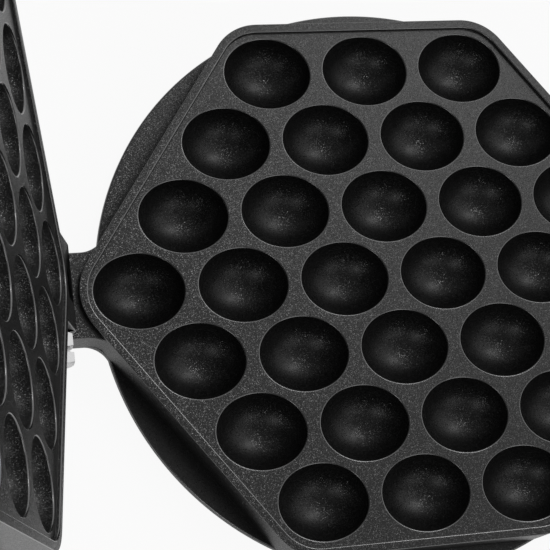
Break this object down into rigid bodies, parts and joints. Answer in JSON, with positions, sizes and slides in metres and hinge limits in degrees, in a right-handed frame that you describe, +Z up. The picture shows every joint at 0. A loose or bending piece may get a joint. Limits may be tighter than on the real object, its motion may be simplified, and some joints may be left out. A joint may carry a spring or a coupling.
{
  "type": "bubble waffle pan",
  "caption": "Hinged stovetop pan for bubble waffles: two dark cast halves with oval cups in a hexagonal block, a bolted hinge at one end and long handles with a side latch at the other.",
  "frame": {"origin": "on the underside of the lower pan's flat base, under the middle of its cups", "axes": "+X from the hinge towards the handles, +Y away from the hinge bolt's head, along the hinge axis, +Z up"},
  "size_m": [0.5431, 0.1936, 0.4202],
  "materials": {
    "cast_pan": "cast aluminium under a black speckled non-stick coating",
    "zinc_steel": "zinc-plated steel",
    "guard_steel": "pressed stainless steel",
    "phenolic": "compression-moulded phenolic"
  },
  "bodies": {
    "lower": {"lower_pan": "cast_pan", "lower_flame_guard": "guard_steel", "lower_grip": "phenolic", "lower_handle_screw": "zinc_steel", "latch_screw": "zinc_steel", "latch_wave_washer": "guard_steel"},
    "upper": {"upper_pan": "cast_pan", "upper_flame_guard": "guard_steel", "upper_grip": "phenolic", "upper_handle_screw": "zinc_steel", "hinge_bolt": "zinc_steel", "hinge_lock_nut": "zinc_steel", "catch_stud": "zinc_steel"},
    "latch": {"latch_hook": "guard_steel"}
  },
  "joints": [
    {"name": "pan_hinge", "type": "hinge", "parent": "lower", "child": "upper", "pos_m": [-0.1143, 0, 0.02574], "axis": [0, 1, 0], "range_deg": [0, 107.3]},
    {"name": "latch_swing", "type": "hinge", "parent": "lower", "child": "latch", "pos_m": [0.13103, -0.0131, 0.0098], "axis": [0, 1, 0], "range_deg": [0, 90]}
  ]
}
